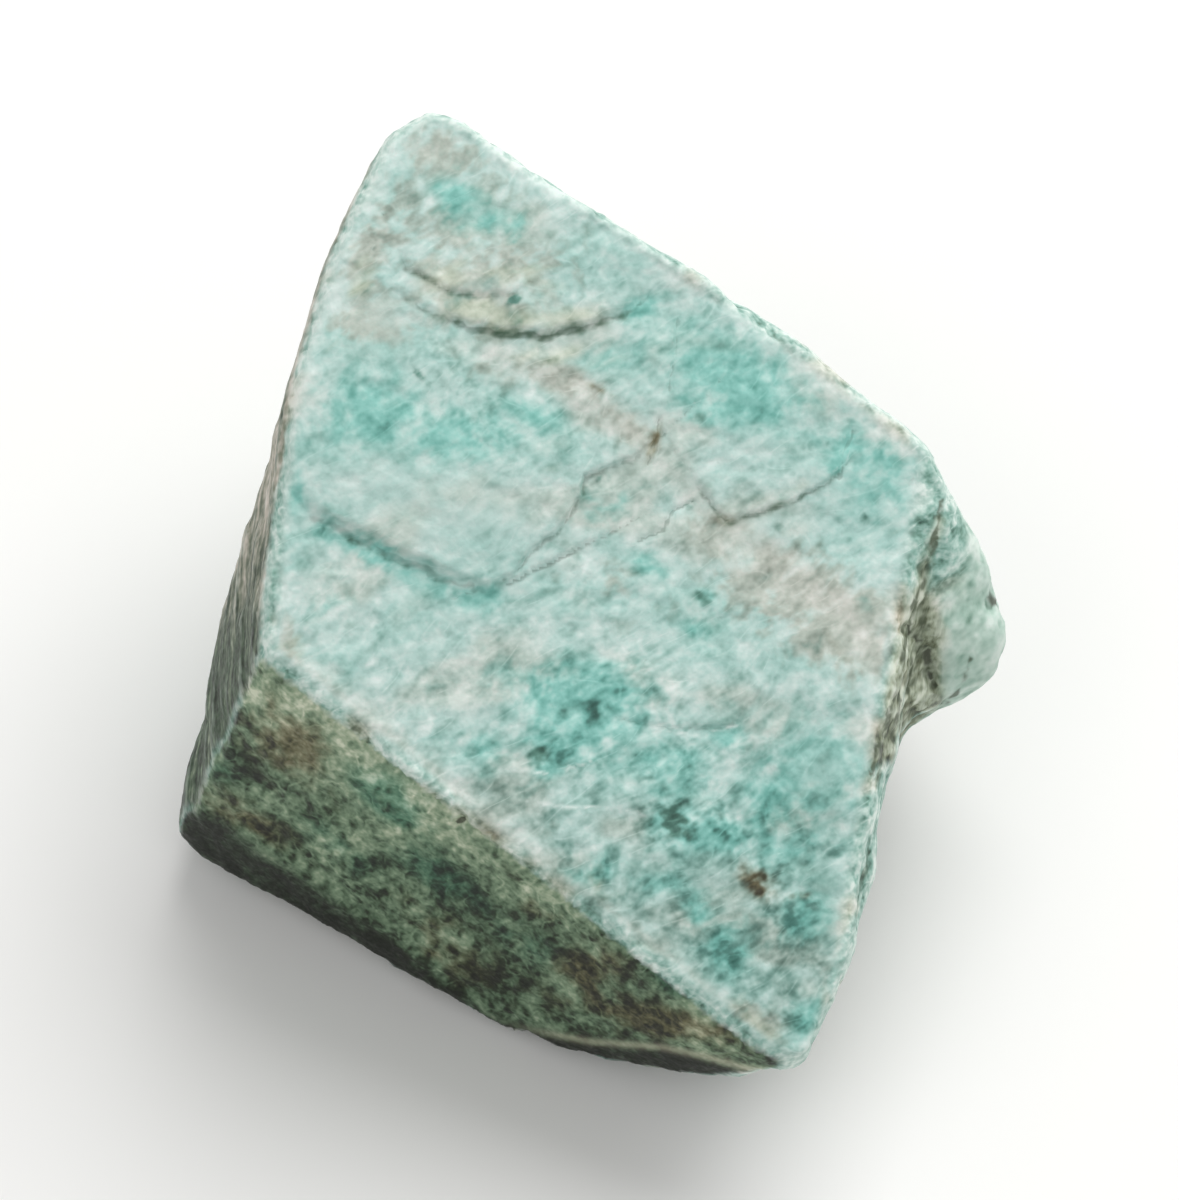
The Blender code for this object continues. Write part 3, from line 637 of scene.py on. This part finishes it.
def note_marks(skin, masks, inside, foot, brow):
    """Keeps where each colour of the stone lies, and where shade and highlight are painted on it."""
    right, up = chart(skin.places)
    height = skin.places[:, 2]
    on_face = masks["face"]
    for name in COLOURED_SURFACES:
        skin.note(name, masks[name])
    for name, patches in PATCH_LISTS.items():
        skin.note(name, patch_field(right, up, patches) * on_face)
    for name, patches in FRONT_PATCH_LISTS.items():
        skin.note(name, patch_field(right, up, patches) * masks["front"])
    skin.note("vein", band(line_field(right, up, VEIN)[0], VEIN_HALF_WIDTH) * on_face)
    threads = np.min([line_field(right, up, line)[0] for line in LONG_THREADS], axis=0)
    skin.note("threads", band(threads, THREAD_HALF_WIDTH) * on_face)
    seams = np.min([line_field(right, up, line)[0] for line in SEAMS], axis=0)
    seams += waves(skin.places, *SEAM_BENDS)
    skin.note("seams", band(seams, SEAM_HALF_WIDTH) * masks["shows"])
    skin.note("pits", sum(pit for pit, _ in pit_fields(skin, PIT_TIGHTNESS)) * masks["shows"])
    calm = patch_field(right, up, CALM_PATCHES)
    skin.note("busy", BUSY + BUSY_MORE * ramp(up, *BUSY_DOWN) - BUSY_LESS * calm)
    skin.note("foot", foot * on_face)
    skin.note("brow", brow * on_face)
    below = FACE_OFFSET - skin.places @ np.array(FACE_DIRECTION)
    skin.note("rim", band(np.maximum(inside, 0.0), RIM_BAND) * ramp(below, *RIM_BELOW))
    to_ridge = line_field(right, up, RIDGE)[0]
    skin.note("ridge", band(to_ridge, RIDGE_BAND) * on_face)
    skin.note("crest", band(to_ridge, CREST_BAND) * masks["front"])
    # Darker towards the bottom of the chart.
    skin.note("deeper_down", ramp(up, *DEEPER_DOWN))
    to_edge, side = line_field(right, up, LOWER_EDGE)[:2]
    skin.note("brink", band(to_edge, BRINK_BAND) * ramp(right, *BRINK_RIGHT) * masks["shows"])
    # Painted shade on the strip under the front's lower edge.
    skin.note("low", smooth_step(0.5 - side * to_edge / LOW_FADE) * ramp(height, *LOW_HEIGHT))
    # Where the left cleavage gets its painted shade.
    skin.note("left_low", smooth_step((LEFT_SHADE_TOP - up + waves(skin.places, *LEFT_SHADE_BENDS)) / LEFT_SHADE_FADE))
    # Painted shade on the underside and close to the board.
    under = ramp(skin.normals()[:, 2], *UNDER_TURN) * ramp(height, *UNDER_HEIGHT)
    skin.note("under", np.maximum(under, ramp(height, *TOE_HEIGHT)))
    # Where shade is painted in hollows, and a highlight on the bumps between the small ones.
    skin.note("hollow", skin.sunk(*SMALL_HOLLOW))
    skin.note("deep", skin.sunk(*BROAD_HOLLOW))


def colour(code):
    """A linear colour from its sRGB hex code."""
    parts = [int(code[i:i + 2], 16) / 255.0 for i in (1, 3, 5)]
    return tuple(p / 12.92 if p <= 0.04045 else ((p + 0.055) / 1.055) ** 2.4 for p in parts) + (1.0,)


def node_adder(material):
    """Gives the function that adds a node to this material. Its inputs go by number or by name."""
    material.use_nodes = True
    tree = material.node_tree

    def add(kind, inputs=(), output=0, **settings):
        made = tree.nodes.new(kind)
        for name, value in settings.items():
            setattr(made, name, value)
        named = inputs.items() if isinstance(inputs, dict) else enumerate(inputs)
        for key, value in named:
            if isinstance(value, bpy.types.NodeSocket):
                tree.links.new(value, made.inputs[key])
            else:
                made.inputs[key].default_value = value
        return made.outputs[output]

    return add


def lay_over(add, ground, coats):
    """Colours laid over each other: each coat is a colour and how much of it covers what lies under it."""
    for coat, cover in coats:
        over = colour(coat) if isinstance(coat, str) else coat
        # The mix node's colours are its inputs 6 and 7 and its output 2, whose names other sockets share.
        ground = add("ShaderNodeMix", {0: cover, 6: ground, 7: over}, output=2, data_type="RGBA")
    return ground


def shades(add, depth, codes):
    """Shades of the stone from pale to deep, SHADE_STEP of depth from one to the next."""
    spread = add("ShaderNodeMath", [depth, 1.0 / (SHADE_STEP * (len(codes) - 1))], operation="MULTIPLY")
    laid = add("ShaderNodeValToRGB", [spread])
    stops = laid.node.color_ramp.elements
    while len(stops) < len(codes):
        stops.new(0.5)
    for number, code in enumerate(codes):
        stops[number].position = number / (len(codes) - 1)
        stops[number].color = colour(code)
    return laid


def forms(add, place, axes, size, detail=2.0, roughness=0.5):
    """A cloudy pattern whose forms have this length, width and thickness in millimetres along the axes."""
    turned = add(
        "ShaderNodeMapping",
        {"Vector": place, "Rotation": axes.to_euler(), "Scale": [length * MM for length in size]},
        vector_type="TEXTURE",
    )
    return add(
        "ShaderNodeTexNoise", {"Vector": turned, "Scale": 1.0, "Detail": detail, "Roughness": roughness}
    )


def reach(add, value, low, high, top=1.0):
    """How far a pattern has come from low to high, softly, up to top."""
    return add(
        "ShaderNodeMapRange",
        {"Value": value, "From Min": low, "From Max": high, "To Min": 0.0, "To Max": top},
        interpolation_type="SMOOTHSTEP",
    )


def moved_by(add, middle, parts):
    """A middle value, moved by patterns. Each part is a pattern, the value at which it changes nothing, and
    its strength."""
    total = middle - sum(strength * still for _, still, strength in parts)
    for pattern, _, strength in parts:
        total = add("ShaderNodeMath", [pattern, strength, total], operation="MULTIPLY_ADD")
    return total


def filaments(add, field, width):
    """Thin lines where a cloudy pattern passes through its middle value."""
    off = add("ShaderNodeMath", [field, 0.5], operation="SUBTRACT")
    off = add("ShaderNodeMath", [off], operation="ABSOLUTE")
    return add("ShaderNodeMath", [1.0, reach(add, off, 0.0, width)], operation="SUBTRACT")


class Patterns:
    """The patterns that run through the stone, in real sizes, and where each kind of surface lies."""

    def __init__(self, add):
        self.add = add
        self.noted = {}
        place = add("ShaderNodeTexCoord", output="Object")
        # Everything bends slowly, because crystals grow unevenly.
        drift = add(
            "ShaderNodeTexNoise",
            {"Vector": place, "Scale": 1.0 / (DRIFT_SIZE * MM), "Detail": 1.0, "Roughness": 0.4},
            output="Color",
        )
        centred = add("ShaderNodeVectorMath", [drift, (0.5, 0.5, 0.5)], operation="SUBTRACT")
        sway = add("ShaderNodeVectorMath", {0: centred, "Scale": DRIFT_REACH * MM}, operation="SCALE")
        wandering = add("ShaderNodeVectorMath", [place, sway], operation="ADD")
        self.clouds = forms(add, place, FACE_AXES, (7.0, 5.0, 5.0))
        self.mottle = forms(add, wandering, GRAIN_AXES, (1.7, 1.3, 1.3), 2.0, 0.6)
        self.smears = forms(add, wandering, GRAIN_AXES, (2.4, 1.0, 1.2), 1.0)
        self.specks = forms(add, place, GRAIN_AXES, (0.80, 0.64, 0.64), 1.5)
        self.grains = forms(add, place, GRAIN_AXES, (0.36, 0.32, 0.32), 1.0)
        # Threads of albite, which come and go.
        whole_threads = filaments(add, forms(add, wandering, GRAIN_AXES, (4.2, 1.1, 1.3), 0.4), 0.045)
        self.threads = self.both(whole_threads, reach(add, self.specks, 0.44, 0.58))
        self.front_mottle = forms(add, place, FRONT_AXES, (1.9, 2.8, 1.9), 2.0, 0.6)
        self.front_specks = forms(add, place, FRONT_AXES, (0.62, 1.05, 0.62), 1.5)
        front_curds = filaments(add, forms(add, place, FRONT_AXES, (1.3, 2.1, 1.3), 1.0), 0.080)
        self.front_curds = self.both(front_curds, reach(add, self.front_specks, 0.42, 0.58))
        self.joint_streaks = forms(add, wandering, JOINT_AXES, (2.6, 0.8, 0.8), 3.0, 0.6)
        self.left_streaks = forms(add, wandering, LEFT_AXES, (9.0, 0.6, 0.8), 3.0, 0.6)
        self.lamellae = forms(add, wandering, BACK_AXES, (3.0, 0.45, 2.0), 3.0, 0.6)

    def at(self, name):
        """Where a mark or a kind of surface lies."""
        if name not in self.noted:
            self.noted[name] = self.add("ShaderNodeAttribute", output="Fac", attribute_name=name)
        return self.noted[name]

    def patch(self, name, by, grow=1.6, low=0.3, high=0.8):
        """A painted patch, its border broken up by a pattern."""
        spread = moved_by(self.add, 0.0, [(by, 0.5, grow), (self.at(name), 0.0, 1.0)])
        return reach(self.add, spread, low, high)

    def stain_and_shadow(self, name, by, grow, low=0.2, high=0.9):
        """A mark that a pattern breaks up, and that never leaves its own place."""
        broken = self.both(self.at(name), moved_by(self.add, 1.0, [(by, 0.5, grow)]))
        return reach(self.add, broken, low, high)

    def both(self, one, other):
        return self.add("ShaderNodeMath", [one, other], operation="MULTIPLY")


def cleavage_colours(add, stone):
    """The cleavage face: mint ground, clouds of teal, olive where a ledge holds dirt, and pinkish grey where
    iron has got in."""
    texture = moved_by(add, 0.0, [
        (stone.mottle, 0.5, 1.2), (stone.specks, 0.5, 1.0), (stone.smears, 0.5, 0.4),
        (stone.grains, 0.5, 0.25), (stone.threads, 0.1, -0.15),
    ])
    depth = moved_by(add, 0.50, [
        (stone.both(texture, stone.at("busy")), 0.0, 1.0), (stone.at("deeper_down"), 0.0, 0.32),
        # The ledges' brows are lightened as a painted highlight.
        (stone.at("teal"), 0.0, 0.07), (stone.at("rim"), 0.0, -0.42), (stone.at("brow"), 0.0, -0.15),
        (stone.at("ridge"), 0.0, -0.18), (stone.at("pale"), 0.0, -0.08),
    ])
    mint = shades(add, depth, ("#dfe9e5", "#c9dad4", "#b1ccc5", "#95b5ac", "#71978d", "#557a70"))
    teal = shades(add, depth, ("#c9e4de", "#aad5cc", "#8ac3b9", "#6ba99e", "#46796f", "#2f5f55"))
    warm = shades(add, depth, ("#e2e4dd", "#cdd2c9", "#b5beb3", "#98a398", "#727f74", "#56635a"))
    olive = shades(add, depth, ("#e0e4d6", "#cbd2c1", "#b1bba8", "#8c9b86", "#62745f", "#45523f"))
    pink = shades(add, depth, ("#e2dfd9", "#d1cfc7", "#bdbfb5", "#9fa398", "#777c71", "#5a5f55"))
    dark = shades(add, depth, ("#a7cabf", "#83ada1", "#618e81", "#446c60", "#2a4a40", "#1a362f"))
    rust = shades(add, depth, ("#cfc8ae", "#b0a788", "#8b8465", "#666046", "#43402d", "#2f2d1f"))
    ground = lay_over(add, mint, [
        (teal, reach(add, stone.clouds, 0.45, 0.70, 0.4)),
        (warm, reach(add, stone.clouds, 0.48, 0.34, 0.6)),
        (warm, stone.patch("warm", stone.mottle)),
        (warm, stone.patch("ridge", stone.mottle, 1.0, 0.2, 1.1)),
        (olive, stone.patch("olive", stone.smears, 1.2, 0.2, 1.0)),
        (teal, stone.patch("teal", stone.mottle, 1.2, 0.05, 0.80)),
        (mint, stone.both(stone.patch("pale", stone.mottle, 1.0, 0.2, 1.0), 0.7)),
        (pink, stone.both(stone.patch("vein", stone.clouds, 3.0, 0.3, 1.2), 0.7)),
    ])
    return lay_over(add, ground, [
        (rust, stone.stain_and_shadow("rust", stone.specks, 2.2, 0.1, 1.1)),
        (dark, stone.stain_and_shadow("dark", stone.specks, 2.5)),
        # Painted shadow at the foot of the ledges.
        ("#3f6148", stone.both(stone.stain_and_shadow("foot", stone.specks, 2.0, 0.15), 0.8)),
        ("#e4eee9", stone.both(stone.at("threads"), reach(add, stone.specks, 0.35, 0.60, 0.7))),
    ])


def fracture_colours(add, stone):
    """The front fracture: olive green and brown from weathering, with pale rims around its lumps."""
    depth = moved_by(add, 0.60, [
        (stone.front_mottle, 0.5, 1.2), (stone.front_specks, 0.5, 1.4), (stone.grains, 0.5, 0.4),
        # Painted shade darkens the strip under the lower edge.
        (stone.front_curds, 0.15, -0.25), (stone.clouds, 0.5, 0.9), (stone.at("low"), 0.0, 0.35),
        # Painted shade in patches at the left and low down.
        (stone.at("brink"), 0.0, -0.5), (stone.at("deeper_down"), 0.3, 0.32), (stone.at("front_shade"), 0.0, 0.12),
        (stone.at("crest"), 0.0, -0.22),
    ])
    olive = shades(add, depth, ("#cdd3bb", "#a1b094", "#788f73", "#51684f", "#283523", "#171f14"))
    brown = shades(add, depth, ("#cfc9ae", "#a3a083", "#7b795c", "#565539", "#2e2f1e", "#1c1d12"))
    green = shades(add, depth, ("#b2ccb6", "#84aa90", "#5e896f", "#406b53", "#264534", "#162b20"))
    return lay_over(add, olive, [
        (green, stone.patch("green", stone.front_mottle, 1.4, 0.10, 0.9)),
        (brown, stone.patch("brown", stone.front_mottle, 1.4, 0.10, 0.8)),
        # Painted shade under the front's lower edge.
        ("#171b12", stone.both(stone.at("low"), 0.7)),
        ("#a9a68f", stone.both(stone.at("brink"), 0.5)),
    ])


def left_colours(add, stone):
    """The left cleavage: cream and pink streaks above, and dark green painted shade below."""
    depth = moved_by(add, 0.50, [
        (stone.left_streaks, 0.5, 1.9), (stone.specks, 0.5, 1.1), (stone.mottle, 0.5, 0.6),
        # Deeper low down, as painted shade.
        (stone.at("left_low"), 0.0, 0.20),
    ])
    cream = shades(add, depth, ("#e2dad1", "#c9c1b5", "#a6a394", "#7b816e", "#4e5d4c", "#39463a"))
    # Painted shade: the dark green laid low on the left cleavage.
    stained = shades(add, depth, ("#9fae98", "#72846a", "#4f634d", "#374936", "#253222", "#1a2217"))
    return lay_over(add, cream, [(stained, stone.patch("left_low", stone.left_streaks, 1.4, 0.05, 1.0))])


def knob_colours(add, stone):
    """The knob: pale mint, worn smooth."""
    depth = moved_by(add, 0.46, [
        (stone.mottle, 0.5, 1.4), (stone.specks, 0.5, 0.8), (stone.clouds, 0.5, 0.5),
        # Small hollows are darkened as painted shade.
        (stone.at("hollow"), 0.5, 0.4),
    ])
    return shades(add, depth, ("#d3e1d8", "#bcd2c6", "#a3bfb1", "#82a292", "#557363", "#3d5749"))


def joint_colours(add, stone):
    """The joint beside the knob: olive grey, stained by iron, with dark holes in rows."""
    depth = moved_by(add, 0.32, [
        # Small hollows are darkened as painted shade.
        (stone.joint_streaks, 0.5, 2.2), (stone.specks, 0.5, 1.2), (stone.at("hollow"), 0.5, 0.3),
        (stone.at("deeper_down"), 0.0, 2.8),
    ])
    return shades(add, depth, ("#d6dccb", "#bac3ae", "#98a18b", "#6b735b", "#3a4030", "#262b1f"))


def broken_colours(add, stone):
    """The back and the sides: blue-green with lamellae of white albite, and brown where it has weathered."""
    depth = moved_by(add, 0.50, [
        (stone.lamellae, 0.5, 1.3), (stone.mottle, 0.5, 0.8), (stone.specks, 0.5, 1.1),
        # Small and broad hollows are darkened as painted shade.
        (stone.grains, 0.5, 0.6), (stone.threads, 0.1, -0.20), (stone.at("hollow"), 0.5, 0.35),
        (stone.at("deep"), 0.5, 0.25),
    ])
    fresh = shades(add, depth, ("#d9e7df", "#b5cec4", "#8fb4a8", "#6a9183", "#446357", "#2f473d"))
    grey = shades(add, depth, ("#dcded2", "#bcc3b3", "#98a492", "#717e6c", "#4a5546", "#353d32"))
    brown = shades(add, depth, ("#d6cdb8", "#b1a78e", "#8b826a", "#645c45", "#3f3a2a", "#2c281d"))
    worn = moved_by(add, 0.0, [(stone.clouds, 0.0, 1.0), (stone.at("deep"), 0.5, -0.12)])
    return lay_over(add, fresh, [
        (grey, reach(add, worn, 0.52, 0.42)),
        (brown, reach(add, worn, 0.42, 0.34, 0.8)),
    ])


def weathered_amazonite():
    """Amazonite is potassium feldspar, blue-green from a little lead, and cleaved into flat faces. Thin
    threads of white albite run through it. Weather has dulled it, and stained its joints with iron."""
    material = bpy.data.materials.new("weathered amazonite")
    add = node_adder(material)
    tree = material.node_tree
    shader = tree.nodes["Principled BSDF"]
    stone = Patterns(add)
    whole = lay_over(add, broken_colours(add, stone), [
        (fracture_colours(add, stone), stone.at("front")),
        (left_colours(add, stone), stone.at("left")),
        (knob_colours(add, stone), stone.at("knob")),
        (joint_colours(add, stone), stone.at("joint")),
        (cleavage_colours(add, stone), stone.at("face")),
        # Painted shade in small hollows, and a painted highlight on the bumps between them.
        ("#4a5a4c", reach(add, stone.at("hollow"), 0.68, 1.0, 0.30)),
        ("#dfe8e2", reach(add, stone.at("hollow"), 0.30, 0.0, 0.15)),
        ("#4b5642", stone.both(stone.stain_and_shadow("seams", stone.specks, 1.5), 0.8)),
        ("#3f4435", reach(add, stone.at("pits"), 0.3, 0.7, 0.85)),
        # Painted shade on the underside and close to the board.
        ("#232a20", stone.both(stone.at("under"), 0.8)),
    ])
    tree.links.new(whole, shader.inputs["Base Color"])
    tree.links.new(moved_by(add, 0.58, [(stone.grains, 0.5, 0.4)]), shader.inputs["Roughness"])
    shader.inputs["IOR"].default_value = 1.53
    # Fine pits shade each other, so a weathered face shines less along its slope than a polished one.
    shader.inputs["Specular IOR Level"].default_value = 0.3
    shader.inputs["Metallic"].default_value = 0.0
    shader.inputs["Subsurface Weight"].default_value = 0.06
    shader.inputs["Subsurface Radius"].default_value = (0.6, 1.0, 0.9)
    shader.inputs["Subsurface Scale"].default_value = 1.0 * MM
    height = moved_by(add, 0.0, [
        (stone.grains, 0.5, 0.025), (stone.specks, 0.5, 0.05), (stone.front_specks, 0.5, 0.05),
    ])
    tree.links.new(
        add("ShaderNodeBump", {"Strength": 1.0, "Distance": MM, "Height": height}), shader.inputs["Normal"]
    )
    return material


def dress(node):
    """The stone as it is seen, in place of its plain solid."""
    stone = even_skin(node)
    skin = Skin(stone.data)
    on_face, inside, foot, brow = cleave_face(skin)
    masks = surface_masks(skin, on_face)
    roughen(skin, masks)
    nick_edges(skin)
    note_marks(skin, masks, inside, foot, brow)
    skin.store()
    stone.data.materials.clear()
    stone.data.materials.append(weathered_amazonite())
    stone.data.shade_smooth()
    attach(stone, "root")
    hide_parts("amazonite")


def pale_floor():
    """Matt white board under the stone."""
    bpy.ops.mesh.primitive_plane_add(size=FLOOR_SIZE)
    floor = bpy.context.object
    floor.name = "floor"
    material = bpy.data.materials.new("matt white board")
    material.use_nodes = True
    shader = material.node_tree.nodes["Principled BSDF"]
    shader.inputs["Base Color"].default_value = colour("#f5f4f2")
    shader.inputs["Roughness"].default_value = 0.9
    floor.data.materials.append(material)


def soft_light(name, direction, distance, size, power):
    """A square softbox that faces the stone."""
    light = bpy.data.lights.new(name, "AREA")
    light.size = size
    light.energy = power
    holder = bpy.data.objects.new(name, light)
    direction = Vector(direction).normalized()
    holder.location = direction * distance + Vector((0.0, 0.0, LIT_HEIGHT))
    holder.rotation_euler = direction.to_track_quat("Z", "Y").to_euler()
    bpy.context.scene.collection.objects.link(holder)


def studio():
    pale_floor()
    soft_light("key", direction=(0.35, 0.55, 0.80), distance=0.9, size=0.80, power=7.1)
    soft_light("fill", direction=(-0.6, -0.5, 0.9), distance=1.2, size=0.8, power=1.6)
    world = bpy.data.worlds.new("studio")
    world.use_nodes = True
    backdrop = world.node_tree.nodes["Background"]
    backdrop.inputs["Color"].default_value = colour("#f8f9f9")
    backdrop.inputs["Strength"].default_value = 0.55
    bpy.context.scene.world = world


def camera():
    """A long lens that looks along the chart's direction, so that the outline is the chart's."""
    across = (VIEW_UP - VIEW_HEIGHT * math.cos(CHART_ELEVATION)) / math.sin(CHART_ELEVATION)
    aim = Vector((VIEW_RIGHT + CHART_X, across + CHART_Y, VIEW_HEIGHT))
    lens = bpy.data.cameras.new("camera")
    lens.sensor_fit = "VERTICAL"
    lens.sensor_height = SENSOR
    lens.lens = SENSOR * CAMERA_DISTANCE / VIEW_SPAN
    lens.clip_start = 0.05
    holder = bpy.data.objects.new("camera", lens)
    holder.location = (aim + TOWARDS_CHART * CAMERA_DISTANCE) * MM
    holder.rotation_euler = TOWARDS_CHART.to_track_quat("Z", "Y").to_euler()
    bpy.context.scene.collection.objects.link(holder)
    bpy.context.scene.camera = holder


dress(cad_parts["amazonite"])
studio()
camera()
bpy.context.scene.view_settings.view_transform = "Standard"
